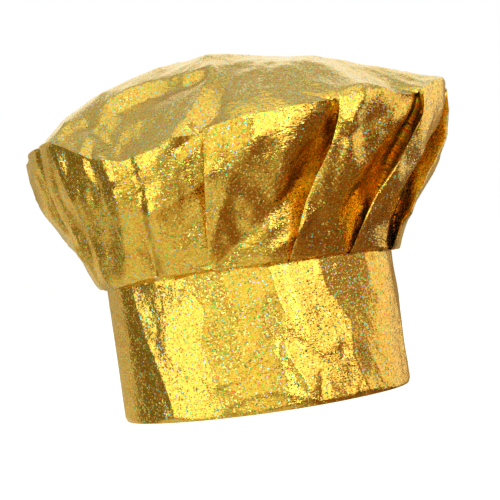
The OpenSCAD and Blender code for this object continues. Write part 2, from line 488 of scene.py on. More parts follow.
@dataclass(frozen=True)
class Nonwoven(Finish):
    """Spun-bonded polyester: matt, off-white, with bonded fibres crossing each other."""

    name: str = "spun-bonded backing"
    pale: str = "#F0EEE6"
    shade: str = "#D9D5C8"
    fibre_mm: float = 0.8
    bond_mm: float = 1.6
    roughness: float = 0.85

    def inputs(self, tree: NodeTree, coordinates: Node) -> dict:
        """Adds the nodes that feed the shader, and gives its inputs."""
        at = coordinates.outputs["Object"]
        fibres = clouds(tree, at, self.fibre_mm, Detail=4.0, Roughness=0.7, Distortion=1.5)
        dots = cells(tree, at, self.bond_mm, 0.35).outputs["Distance"]
        return {
            "Base Color": ramp(tree, fibres, [(0.3, self.shade), (0.65, self.pale)]),
            "Roughness": self.roughness, "Sheen Weight": 0.2, "Sheen Roughness": 0.5,
            "Normal": bump(tree, maths(tree, "ADD", fibres, dots), 0.0004, 0.6),
        }


@dataclass(frozen=True)
class WovenTape(Finish):
    """Narrow woven polyester tape: ribs across it, one to each weft thread."""

    name: str = "woven tape"
    thread: str = "#E9E4D6"
    gap: str = "#BDB6A4"
    rib_mm: float = 0.9
    roughness: float = 0.8

    def inputs(self, tree: NodeTree, coordinates: Node) -> dict:
        """Adds the nodes; the piece's own flat plan gives the direction of the ribs."""
        plan = add(tree, "SeparateXYZ", {0: coordinates.outputs["UV"]})
        turns = 2 * math.pi / (self.rib_mm * MM)
        ribs = [maths(tree, "SINE", maths(tree, "MULTIPLY", plan.outputs[axis], turns)) for axis in (0, 1)]
        level = maths(tree, "MULTIPLY_ADD", maths(tree, "MULTIPLY", *ribs), 0.5, 0.5)
        return {
            "Base Color": ramp(tree, level, [(0.0, self.gap), (0.45, self.thread)]),
            "Roughness": self.roughness, "Sheen Weight": 0.3, "Normal": bump(tree, level, 0.0003, 0.7),
        }


@dataclass(frozen=True)
class Greyboard(Finish):
    """Recycled greyboard: flat, dull, flecked with darker fibre."""

    name: str = "greyboard"
    body: str = "#B9B2A3"
    fleck: str = "#8F8878"
    grain_mm: float = 1.5
    roughness: float = 0.9

    def inputs(self, tree: NodeTree, coordinates: Node) -> dict:
        """Adds the nodes that feed the shader, and gives its inputs."""
        at = coordinates.outputs["Object"]
        grain = clouds(tree, at, self.grain_mm, Detail=5.0, Roughness=0.7)
        return {
            "Base Color": ramp(tree, grain, [(0.32, self.fleck), (0.5, self.body)]),
            "Roughness": self.roughness, "Normal": bump(tree, grain, 0.0003, 0.4),
        }


@dataclass(frozen=True)
class Yarn(Finish):
    """Spun thread or moulded nylon: one colour with a fine twist along it."""

    colour: str
    shade: str
    twist_mm: float = 0.5
    roughness: float = 0.6

    def inputs(self, tree: NodeTree, coordinates: Node) -> dict:
        """Adds the nodes that feed the shader, and gives its inputs."""
        at = coordinates.outputs["Object"]
        twist = clouds(tree, at, self.twist_mm, Detail=2.0)
        return {
            "Base Color": ramp(tree, twist, [(0.35, self.shade), (0.6, self.colour)]),
            "Roughness": self.roughness, "Normal": bump(tree, twist, 0.0001, 0.5),
        }


@dataclass(frozen=True)
class GlowingFloor(Finish):
    """The studio's floor: matt paper, lit a little from itself so that it stays white."""

    name: str = "pale floor"
    paper: str = "#F4F3F1"
    glow: float = 0.62

    def inputs(self, tree: NodeTree, coordinates: Node) -> dict:
        """Gives the shader's inputs, which need no other nodes."""
        return {
            "Base Color": linear(self.paper), "Roughness": 0.95, "Specular IOR Level": 0.1,
            "Emission Color": linear("#FFFFFF"), "Emission Strength": self.glow,
        }


@dataclass(frozen=True)
class Finishes:
    """The hat's materials."""

    foil: Material
    backing: Material
    tape: Material
    board: Material
    thread: Material
    hooks: Material
    loops: Material


def make_finishes() -> Finishes:
    """Makes the hat's materials."""
    return Finishes(
        foil=FlakedFoil().make(),
        backing=Nonwoven().make(),
        tape=WovenTape().make(),
        board=Greyboard().make(),
        thread=Yarn("gold sewing thread", "#D8AE45", "#A97F24").make(),
        hooks=Yarn("moulded nylon hooks", "#ECE8DC", "#CFC9B8", roughness=0.4).make(),
        loops=Yarn("brushed nylon loops", "#F2EFE6", "#DCD6C6", roughness=0.8).make(),
    )


# ---------------------------------------------------------------- the crown


@dataclass(frozen=True)
class Pleat:
    """One knife pleat: where its folded edge starts and leans, and how deep it tucks."""

    seat_mm: float
    lean_mm: float
    depth_mm: float


@dataclass(frozen=True)
class Crease:
    """A crease across the crown: points (x, z) in mm, how far out it stands, its reach."""

    line_mm: tuple[tuple[float, float], ...]
    depth_mm: float
    reach_mm: float
    front: bool = True

    def moved(self, points: Array) -> Array:
        """Gives how far the crease moves each point outwards.

        Args:
            points: points on the crown, in metres.

        Returns:
            One distance for each point; negative is a valley.
        """
        at = points[..., (0, 2)] * (1 if self.front else np.array([-1, 1]))
        nearest = np.full(at.shape[:-1], 1.0)
        corners = np.array(self.line_mm) * MM
        for a, b in zip(corners, corners[1:]):
            along = np.clip(((at - a) @ (b - a)) / ((b - a) @ (b - a)), 0, 1)
            nearest = np.minimum(nearest, np.linalg.norm(at - (a + along[..., None] * (b - a)), axis=-1))
        facing = ease(-points[..., 1] if self.front else points[..., 1], -0.02, 0.03)
        return self.depth_mm * MM * np.exp(-nearest / (self.reach_mm * MM)) * facing


@dataclass
class Crown:
    """The puffed crown: one round of foil, knife-pleated and gathered into the band."""

    outline: Outline = field(default_factory=Outline)
    seam_z: float = 0.1024
    sewn: tuple[float, float] = (0.026, 0.5)
    apex_mm: tuple[float, float, float] = (-8.0, 4.0, 252.5)
    cut_radius: float = 0.280
    thickness: float = 0.0003
    # How far the foil droops over the seam: everywhere, and more at the sides, which
    # are this far round from the front. It fades out over the closure, where the flap swings.
    droop: float = 0.02
    side_droop: float = 0.035
    side_place: float = 0.147
    side_spread: float = 0.09
    droop_fades: tuple[float, float] = (0.034, 0.052)
    dome: float = 1.9
    # Loose wrinkles: their size, their depth and the share of it that reaches the top.
    wrinkles: tuple[tuple[float, float, float], ...] = (
        (0.062, 0.0034, 0.35), (0.026, 0.0018, 0.0), (0.011, 0.0008, 0.0),
    )
    per_pleat: int = 36
    side_rings: int = 44
    top_rings: int = 40
    # Place round the band from the middle of the front, and the widest ring there:
    # how far out from the band, and how high.
    ring_mm: tuple[tuple[float, float, float], ...] = (
        (-294.5, 45, 204), (-268, 42, 189), (-240, 47, 201), (-217, 43, 188), (-193, 48, 201),
        (-170, 45, 191), (-150, 47, 195), (-105, 45, 204), (-60, 45, 182), (-14, 45, 194),
        (40, 45, 201), (78, 46, 206), (100, 48, 203), (125, 54, 213), (150, 58, 208), (178, 51, 196),
        (200, 53, 206), (224, 45, 190), (248, 50, 203), (270, 44, 188), (294.5, 45, 204),
    )
    pleats: tuple[Pleat, ...] = (
        Pleat(-266, 16, 11), Pleat(-217, 20, 12), Pleat(-168, 18, 9), Pleat(-119, 8, 9),
        Pleat(-70, -2, 14), Pleat(-24, 11, 14), Pleat(26, 30, 17), Pleat(70, 38, 19),
        Pleat(112, 34, 17), Pleat(165, 24, 14), Pleat(220, 18, 12), Pleat(273, 16, 12),
    )
    creases: tuple[Crease, ...] = (
        Crease(((-112, 216), (-122, 200), (-114, 164), (-94, 98)), 4.5, 8),
        Crease(((-98, 214), (-84, 200), (-72, 180), (-66, 160), (-65, 98)), -4.5, 6),
        Crease(((-62, 178), (-60, 150), (-56, 98)), 2.0, 5),
        Crease(((-92, 200), (-80, 176), (-78, 140), (-84, 98)), 4.0, 8),
        Crease(((-80, 225), (-52, 232), (-6, 234)), 6.0, 9),
        Crease(((-72, 220), (-50, 225), (-12, 229)), -5.0, 5),
        Crease(((3, 226), (-9, 203), (-33, 184)), -4.5, 6),
        Crease(((-6, 231), (-20, 207), (-47, 181)), 5.0, 6),
        Crease(((-58, 146), (-34, 156), (-18, 164)), 4.5, 7),
        Crease(((-50, 112), (-36, 120), (-24, 113)), 2.0, 4),
        Crease(((20, 186), (-4, 162), (-20, 127)), 3.0, 8),
        Crease(((47, 153), (14, 129), (-24, 100)), -5.5, 9),
        Crease(((60, 138), (34, 118), (12, 106)), 3.5, 7),
        Crease(((90, 204), (83, 194), (80, 179), (66, 148)), 4.5, 7),
        Crease(((82, 178), (122, 198)), -3.5, 7),
        Crease(((77, 176), (60, 140)), -3.0, 8),
        Crease(((-30, 250), (40, 236), (110, 226)), 2.5, 14),
        Crease(((-100, 232), (-40, 246), (20, 247)), 2.0, 12),
        Crease(((-90, 222), (-20, 236), (60, 226)), 3.5, 12, front=False),
        Crease(((-60, 200), (-80, 160), (-70, 118)), 4.0, 10, front=False),
        Crease(((20, 205), (0, 160), (-12, 120)), -4.5, 11, front=False),
        Crease(((95, 205), (82, 165), (90, 125)), 4.0, 12, front=False),
    )

    def ring(self, w: Array) -> tuple[Array, Array]:
        """Gives the widest ring's distance out and height at w, in metres."""
        places, out, high = (np.array(column) * MM for column in zip(*self.ring_mm))
        whole = self.outline.perimeter
        w = np.mod(w + whole / 2, whole) - whole / 2
        return through(w, places, list(out)), through(w, places, list(high))

    def surface(self, w: Array, v: Array) -> Array:
        """Gives the unpleated surface.

        Args:
            w: place round the band from the middle of the front, towards +X.
            v: 0 at the seam, 1 at the widest ring, 2 at the top's middle.

        Returns:
            Points, one row each.
        """
        whole = self.outline.perimeter
        out, high = self.ring(w)
        height = high - self.seam_z
        at_side = ease(np.abs(np.abs(w) - self.side_place), self.side_spread, 0.0)
        off_flap = ease(np.abs(np.mod(w, whole) - whole / 2), *self.droop_fades)
        droop = (self.droop + self.side_droop * at_side) * off_flap
        side = np.clip(v, 0, 1)
        stops = (0, 0.07, 0.2, 0.42, 0.64, 0.83, 1)
        share_out = through(side, stops, (0, 0.13, 0.32, 0.58, 0.82, 0.96, 1))
        share_up = through(side, stops, (0, -droop, 0.11, 0.35, 0.60, 0.82, 1))
        x, y = self.outline.beside(whole / 2 - w, out * share_out)
        z = self.seam_z + height * share_up
        top = np.clip(v - 1, 0, 1)
        apex = np.array(self.apex_mm) * MM
        climb = 1 - (1 - top) ** self.dome
        x, y, z = x + (apex[0] - x) * top, y + (apex[1] - y) * top, z + (apex[2] - high) * climb
        return np.stack([x, y, z], axis=-1)

    def normal(self, w: Array, v: Array) -> Array:
        """Gives the unpleated surface's outward direction."""
        step, lift, near_top = 0.002, 0.01, 1.97
        v = np.clip(v, 0.0, near_top)
        along = self.surface(w + step, v) - self.surface(w - step, v)
        up = self.surface(w, v + lift) - self.surface(w, np.maximum(v - lift, 0))
        n = np.cross(along, up)
        return n / np.linalg.norm(n, axis=-1, keepdims=True)

    def folded(self, v: Array) -> tuple[Array, Array]:
        """Places each ring's points round the crown, with the pleats folded in.

        Args:
            v: how far up each ring is.

        Returns:
            Each point's place round the band, and its depth under the surface.
        """
        whole = self.outline.perimeter
        columns = zip(*((p.seat_mm, p.lean_mm, p.depth_mm) for p in self.pleats))
        seat, lean, deep = (np.array(column) * MM for column in columns)
        share = np.arange(self.per_pleat) / self.per_pleat
        rows = v[:, None, None]
        edge = seat[None, :, None] + lean[None, :, None] * ease(rows, 0.0, 1.0)
        following = np.roll(edge, -1, axis=1)
        following[:, -1] += whole
        p = np.broadcast_to(share[None, None, :], (len(v), len(seat), self.per_pleat))
        rows = np.broadcast_to(rows, p.shape)
        knee = 0.25 + 0.50 * ease(rows, 0.0, 1.0)
        tuck = through(rows, (0, 0.3, 0.7, 0.9, 1.05, 2.0), (0.30, 0.28, 0.20, 0.07, 0.0, 0.0))
        # From one folded edge: over the panel, down at its knee, under the next fold, and back out.
        stops = (0, 0.03, 0.15, 0.36, 0.58, 0.68, 0.72, 0.85, 0.97, 1.0)
        places = (0, 0.02, knee * 0.4, knee, 0.98, 1 + tuck, 1.01 + tuck, 1 + tuck * 0.45, 1.005, 1)
        across = through(p, stops, places)
        depth = through(p, stops, (0, 0.03, -0.03, -0.22, -0.72, -1.0, -0.96, -0.5, -0.06, 0))
        loose = ease(rows, 0.92, 1.2)
        across = across * (1 - loose) + p * loose
        heights = (0, 0.03, 0.07, 0.12, 0.32, 0.55, 0.75, 0.92, 1.05, 1.3, 2.0)
        strength = through(rows, heights, (0.03, 0.07, 0.18, 0.36, 0.85, 1.0, 0.85, 0.42, 0.1, 0, 0))
        w = edge + (following - edge) * across
        return w.reshape(len(v), -1), (depth * strength * deep[None, :, None]).reshape(len(v), -1)

    def sheet(self) -> Sheet:
        """Makes the whole sheet, from the gathered edge in the band to the top."""
        low = np.linspace(0, 1, self.side_rings) ** 1.15
        high = 1 + np.linspace(0, 1, self.top_rings + 1)[1:] ** 1.05 * 0.985
        v = np.concatenate([low, high])
        w, depth = self.folded(v)
        rows = np.repeat(v[:, None], w.shape[1], axis=1)
        points = self.surface(w, rows)
        out = self.normal(w, rows)
        points = points + out * depth[..., None]
        points = points + out * self.crumple(points, rows)[..., None]
        # At the edge the folds lie side by side, so that no place is passed twice.
        gathered = np.maximum.accumulate(w[0]) + np.arange(w.shape[1]) * 1e-7
        points = np.concatenate([self.gathered_edge(gathered), points])
        return Sheet(points, self.plan(points), wrap=True)

    def crumple(self, points: Array, v: Array) -> Array:
        """Adds the creases pressed into the sheet, and its loose crumpling."""
        pressed = sum(crease.moved(points) for crease in self.creases)
        tall = (points * np.array([1.0, 1.0, 0.5])).reshape(-1, 3)
        free = ease(v, 0.02, 0.3).ravel()
        side = 1 - 0.55 * ease(v, 0.8, 1.3).ravel()
        loose = 0.0
        for seed, (size, depth, all_over) in enumerate(self.wrinkles, 1):
            loose = loose + ridges(tall, size, seed) * depth * (all_over + (1 - all_over) * side)
        pole = 1 - ease(v.ravel(), 1.9, 1.985)
        return pressed * ease(v, 0.0, 0.15) + (loose * free * pole).reshape(v.shape)

    def gathered_edge(self, w: Array) -> Array:
        """Makes the rows that go down between the band's plies, but not into the closure."""
        u = np.mod(self.outline.perimeter / 2 - w, self.outline.perimeter)
        first, last = self.sewn
        sewn = ease(u, first, first + 0.003) * ease(last - u, 0.0, 0.003)
        rows = []
        clear = 0.00004
        for off, down in ((-0.0010, 0.0099), (-0.0010, 0.0024), (-0.0008, 0.0004)):
            x, y = self.outline.beside(u, off)
            rows.append(np.stack([x, y, self.seam_z - down * sewn - clear], axis=-1))
        return np.stack(rows)

    def plan(self, points: Array) -> Array:
        """Lays the sheet out flat, as rings about the middle of the cut."""
        innermost = 0.004
        rows = np.linspace(self.cut_radius, innermost, points.shape[0])
        turn = np.linspace(0, 2 * math.pi, points.shape[1], endpoint=False)
        return np.stack([rows[:, None] * np.cos(turn), rows[:, None] * np.sin(turn)], axis=-1)

    def build(self, finishes: Finishes) -> Object:
        """Builds the crown and fixes it to the band."""
        sheet = self.sheet()
        rows, across = sheet.points.shape[:2]
        obj = sheet.build("crown_foil", [finishes.foil])
        self.close_top(obj, across)
        obj.data.materials.append(finishes.backing)
        # The thickness falls away at the folded edges, where two layers meet.
        share = np.arange(across) % self.per_pleat / self.per_pleat
        near_fold = np.minimum(share, 1 - share)
        thin = np.where(near_fold < 0.05, 0.1, np.where(near_fold < 0.1, 0.5, 1.0))
        thicken(obj, self.thickness, True, np.tile(thin, rows))
        smooth(obj, SHEET_SHARP)
        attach(obj, "band")
        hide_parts("crown")
        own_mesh(obj)
        return obj

    def close_top(self, obj: Object, across: int) -> None:
        """Closes the small hole at the top's middle with one face."""
        only(obj)
        first = len(obj.data.vertices) - across
        select_where(obj, lambda vertex: vertex.index >= first)
        bpy.ops.mesh.edge_face_add()
        bpy.ops.object.mode_set(mode="OBJECT")


# ---------------------------------------------------------------- small repeated things


def take_mesh(obj: Object) -> Shape:
    """Takes a modelled piece's points and faces, and removes its object."""
    bpy.ops.object.mode_set(mode="OBJECT")
    points = np.array([v.co for v in obj.data.vertices])
    faces = [list(p.vertices) for p in obj.data.polygons]
    bpy.data.objects.remove(obj)
    return points, faces


def scatter(name: str, model: Shape, frames: Sequence[Array], finish: Material) -> Object:
    """Copies one modelled shape to many places, as one mesh.

    Args:
        name: the piece's name.
        model: the shape's points and faces.
        frames: a 4 by 4 placing matrix for each copy.
        finish: its material.

    Returns:
        The object.
    """
    points, faces = model
    wide = np.hstack([points, np.ones((len(points), 1))])
    everywhere = np.concatenate([(wide @ np.asarray(f).T)[:, :3] for f in frames])
    step = len(points)
    joined = [[i + k * step for i in face] for k in range(len(frames)) for face in faces]
    mesh = bpy.data.meshes.new(name)
    mesh.from_pydata(everywhere.tolist(), [], joined)
    obj = place(name, mesh, [finish])
    smooth(obj, SMALL_SHARP)
    return obj


def placing(at: Array, along: Array, out: Array) -> Array:
    """Makes the matrix that puts +X along one direction and +Z outwards."""
    x = along / np.linalg.norm(along)
    z = out - x * (out @ x)
    z = z / np.linalg.norm(z)
    matrix = np.eye(4)
    matrix[:3, 0], matrix[:3, 1], matrix[:3, 2], matrix[:3, 3] = x, np.cross(z, x), z, at
    return matrix


@dataclass(frozen=True)
class Stitch:
    """One lockstitch: a short thread that dives into the cloth at both ends."""

    length: float = 0.0026
    radius: float = 0.00028

    def model(self) -> Shape:
        """Models the stitch along X, its middle standing proud of the cloth."""
        only(None)
        bpy.ops.mesh.primitive_cylinder_add(
            vertices=6, radius=self.radius, depth=self.length, rotation=(0, math.pi / 2, 0)
        )
        obj = bpy.context.active_object
        bpy.ops.object.transform_apply(location=True, rotation=True, scale=True)
        bpy.ops.object.mode_set(mode="EDIT")
        bpy.ops.mesh.select_all(action="DESELECT")
        bpy.ops.object.mode_set(mode="OBJECT")
        for edge in obj.data.edges:
            a, b = (obj.data.vertices[i].co for i in edge.vertices)
            edge.select = abs(a.x - b.x) > self.length / 2
        bpy.ops.object.mode_set(mode="EDIT")
        bpy.ops.mesh.select_mode(type="EDGE")
        bpy.ops.mesh.subdivide(number_cuts=3)
        for side in (-1, 1):
            select_where(obj, lambda vertex, side=side: vertex.co.x * side > self.length * 0.45)
            bpy.ops.transform.resize(value=(1, 0.6, 0.6))
            bpy.ops.transform.translate(value=(-side * self.length * 0.04, 0, -self.radius * 1.5))
        return take_mesh(obj)


@dataclass(frozen=True)
class Hook:
    """One moulded hook of the closure: a stalk that bends over at its tip."""

    radius: float = 0.00011
    stalk: float = 0.00028
    bend: float = 0.00017

    def model(self) -> Shape:
        """Models the hook standing on the XY plane."""
        only(None)
        bpy.ops.mesh.primitive_circle_add(vertices=5, radius=self.radius, fill_type="NGON")
        obj = bpy.context.active_object
        bpy.ops.object.mode_set(mode="EDIT")
        bpy.ops.mesh.select_all(action="SELECT")
        bpy.ops.mesh.extrude_region_move(TRANSFORM_OT_translate={"value": (0, 0, self.stalk)})
        over = math.radians(200)
        bpy.ops.mesh.spin(steps=4, angle=over, center=(self.bend, 0, self.stalk), axis=(0, 1, 0))
        return take_mesh(obj)


@dataclass(frozen=True)
class PileLoop:
    """One loop of the closure's pile."""

    radius: float = 0.00009
    height: float = 0.00042

    def model(self) -> Shape:
        """Models the loop standing on the XY plane."""
        only(None)
        foot = (-self.height, 0, 0)
        bpy.ops.mesh.primitive_circle_add(vertices=4, radius=self.radius, fill_type="NGON", location=foot)
        obj = bpy.context.active_object
        bpy.ops.object.transform_apply(location=True, rotation=True, scale=True)
        bpy.ops.object.mode_set(mode="EDIT")
        bpy.ops.mesh.select_all(action="SELECT")
        bpy.ops.mesh.spin(steps=6, angle=math.pi, center=(0, 0, 0), axis=(0, 1, 0))
        return take_mesh(obj)


# ---------------------------------------------------------------- the band


@dataclass
class BandPlan:
    """Where the band's plies run: round the ring, in at the step, along the underlap.

    Offsets are outwards from the band's outside, in metres, and u runs clockwise from
    the middle of the back, as in the CAD.
    """

    outline: Outline = field(default_factory=Outline)
    height: float = 0.102
    root: float = 0.024  # the flap's root, beyond the back's middle
    end: float = 0.032  # the flap's end, before it
    step: float = 0.012  # the length in which the ring steps in under the flap
    drop: float = 0.00465  # how far it steps in
    stack: float = 0.0021  # all plies together
    facing_in: float = 0.0020  # the facing's inner face, under the outside

    @property
    def first(self) -> float:
        """Where the ring starts, at the flap's root."""
        return self.root

    @property
    def last(self) -> float:
        """Where the ring starts to step inwards."""
        return self.outline.perimeter - self.end - 0.001 - self.step

    @property
    def tip(self) -> float:
        """Where the underlap ends."""
        return self.outline.perimeter + self.root - 0.002

    def point(self, u: Array, off: Array | float, z: Array | float) -> Array:
        """Gives points of the band, with the step inwards taken into account."""
        u, off, z = np.broadcast_arrays(np.asarray(u, float), off, z)
        off = off - self.drop * ease(u, self.last, self.last + self.step)
        x, y = self.outline.beside(u, off)
        return np.stack([x, y, z], axis=-1)

    def out(self, u: float) -> Array:
        """Gives the outward direction at u."""
        a, b = self.point(np.array([u, u]), np.array([0.0, 0.01]), 0.0)
        return (b - a) / np.linalg.norm(b - a)

    def grid(self, places: Array, path: Sequence[tuple[float, float]], warp: Warp) -> Sheet:
        """Sweeps a path of (offset, height) along the band as a sheet.

        Args:
            places: u values, falling so that the sheet's face is outwards.
            path: the sheet's section, its face on the left going along it.
            warp: gives an extra offset for each place and height.

        Returns:
            The sheet, laid flat by length along the band and along the path.
        """
        off, z = columns_of(path)
        u, high = np.broadcast_arrays(np.asarray(places)[None, :], z)
        points = self.point(u, off + warp(u, high), z)
        section = np.hypot(np.diff(off[:, 0]), np.diff(z[:, 0]))
        return Sheet(points, laid_flat(-u[0], running(section)))


@dataclass
class Band:
    """The stiff band: foil outside, board, facing, sweatband, label and their stitches."""

    plan: BandPlan = field(default_factory=BandPlan)
    hem: float = 0.018
    foil_thickness: float = 0.00035
    sweat_low: float = 0.001
    sweat_height: float = 0.026
    label: tuple[float, float] = (0.030, 0.020)
    # The foil's loose dents: their full depth, and the size and share of each layer.
    dent: float = 0.0013
    ripples: tuple[tuple[float, float], ...] = ((0.036, 0.8), (0.012, 0.22))
    # How far a crease may press the foil in, towards the board.
    deepest: float = 0.0006
    creases: tuple[Crease, ...] = (
        Crease(((-84, 100), (-78, 62), (-70, 34), (-62, 2)), 1.4, 6),
        Crease(((-66, 98), (-44, 92), (-34, 76), (-40, 52), (-32, 24)), 1.3, 5),
        Crease(((-60, 70), (-48, 82)), -0.9, 5),
        Crease(((12, 98), (20, 66), (17, 40), (30, 12)), 1.3, 5),
        Crease(((24, 46), (42, 26), (36, 4)), -1.1, 5),
        Crease(((46, 100), (50, 78), (64, 54), (62, 30), (70, 4)), 1.4, 5),
        Crease(((-30, 8), (0, 16), (30, 6)), 0.9, 5),
        Crease(((88, 96), (94, 60), (90, 20)), 1.0, 7),
        Crease(((-70, 96), (-56, 60), (-66, 20)), 1.3, 6, front=False),
        Crease(((60, 98), (52, 64), (68, 30), (58, 4)), 1.2, 6, front=False),
    )

    def dents(self, u: Array, z: Array) -> Array:
        """Gives the dents, ripples and creases of the foil over the board."""
        turn, radius = u / self.plan.outline.perimeter * 2 * math.pi, 0.094
        ring = np.stack([np.cos(turn) * radius, np.sin(turn) * radius, z * 0.6], axis=-1).reshape(-1, 3)
        layers = enumerate(self.ripples, 5)
        loose = sum(ridges(ring, size, seed) * share + share / 2 for seed, (size, share) in layers)
        loose = np.clip(loose, 0, None).reshape(u.shape) * self.dent
        pressed = sum(crease.moved(self.plan.point(u, 0.0, z)) for crease in self.creases)
        free = ease(z, 0.0, 0.0035) * ease(self.plan.height - z, 0.0, 0.004)
        before_step = ease(self.plan.last - u, -0.002, 0.01)
        return (loose + np.clip(pressed, -self.deepest, None)) * free * before_step

    def foil(self, finishes: Finishes) -> Object:
        """Builds the foil: up the outside, round the bottom edge and up the hem inside."""
        plan = self.plan
        inside = -plan.stack
        hem = [
            (inside, self.hem), (inside, 0.010), (inside, 0.003), (inside, 0.0007),
            (inside + 0.0003, 0.0001), (inside / 2, 0.0), (-0.0003, 0.0001), (0.0, 0.0006),
        ]
        face = [(0.0, z) for z in np.linspace(0.002, plan.height - 0.0008, 72)]
        path = [*hem, *face, (-0.00015, plan.height - 0.0002), (-0.0004, plan.height)]
        dented = (np.arange(len(path)) >= len(hem))[:, None]
        places = np.linspace(plan.tip, plan.first, 460)
        sheet = plan.grid(places, path, lambda u, z: self.dents(u, z) * dented)
        obj = sheet.build("band_foil", [finishes.foil, finishes.backing], self.foil_thickness)
        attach(obj, "band")
        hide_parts("band_cover")
        plan.tip - plan.first
        return obj

    def sweatband(self, tape: Material) -> Object:
        """Builds the sweatband: a woven tape that eases a little between its stitches."""
        plan = self.plan
        low, high = self.sweat_low, self.sweat_low + self.sweat_height
        inner, rolled_in, wave = -plan.stack - 0.0008, 0.0010, 0.0125
        path = [(inner - rolled_in * ease(z, high - 0.006, high), z) for z in np.linspace(high, low, 16)]

        def eased(u: Array, z: Array) -> Array:
            return -0.00035 * (0.5 + 0.5 * np.sin(u / wave * 2 * math.pi)) * ease(z, low + 0.004, high)

        places = np.linspace(plan.last - 0.001, plan.first + 0.001, 300)
        obj = plan.grid(places, path, eased).build("sweatband_tape", [tape], 0.0005)
        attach(obj, "band")
        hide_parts("sweatband")
        plan.last - plan.first
        return obj

    def sewn_label(self, tape: Material) -> Object:
        """Builds the blank label, bowed a little between its sewn ends."""
        plan = self.plan
        wide, high = self.label
        low = self.sweat_low + self.sweat_height + 0.003
        start = plan.root + wide / 2

        def bow(u: Array, z: Array) -> Array:
            return -0.0006 * np.sin(np.clip((u - start) / wide, 0, 1) * math.pi)

        path = [(-plan.facing_in - 0.0003, z) for z in np.linspace(low + high, low, 10)]
        obj = plan.grid(np.linspace(start + wide, start, 24), path, bow).build("blank_label", [tape], 0.00035)
        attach(obj, "band")
        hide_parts("size_label")
        return obj

    def row(self, name: str, off: float, z: float, node: str, thread: Material) -> Object:
        """Sews one row round the inside of the band.

        Args:
            name: the piece's name.
            off: the offset of the cloth that it is sewn on.
            z: its height.
            node: the CAD node that it stands for.
            thread: its material.

        Returns:
            The row of stitches.
        """
        plan = self.plan
        frames = []
        for u in np.arange(plan.first + 0.003, plan.last - 0.003, STITCH_PITCH):
            a, b = plan.point(np.array([u - 0.001, u + 0.001]), off, z)
            frames.append(placing((a + b) / 2, b - a, -plan.out(u)))
        obj = scatter(name, Stitch().model(), frames, thread)
        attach(obj, "band")
        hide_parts(node)
        return obj

    def build(self, finishes: Finishes) -> list[Object]:
        """Builds the band's pieces."""
        plan, thread = self.plan, finishes.thread
        on_tape, above_edge, under_top = -plan.stack - 0.0008, self.sweat_low + 0.002, plan.height - 0.005
        return [
            self.foil(finishes),
            self.sweatband(finishes.tape),
            self.sewn_label(finishes.tape),
            self.row("sweatband_stitches", on_tape, above_edge, "sweatband_stitching", thread),
            self.row("crown_seam_stitches", -plan.facing_in, under_top, "crown_seam_stitching", thread),
        ]


# ---------------------------------------------------------------- the closure


class Grip(Enum):
    """The two halves of a hook-and-loop closure."""

    HOOK = "hook"
    LOOP = "loop"


@dataclass(frozen=True)
class TapePiece:
    """One sewn-on half of the closure, by its place along the back and its face."""

    grip: Grip
    start: float
    width: float
    base_off: float
    facing: int
    body: str
    pitch: float
    far_side: float
    low: float = 0.011
    high: float = 0.091
    thickness: float = 0.0006

    @property
    def top(self) -> float:
        """The offset of the face that the hooks or loops stand on."""
        return self.base_off + self.facing * self.thickness


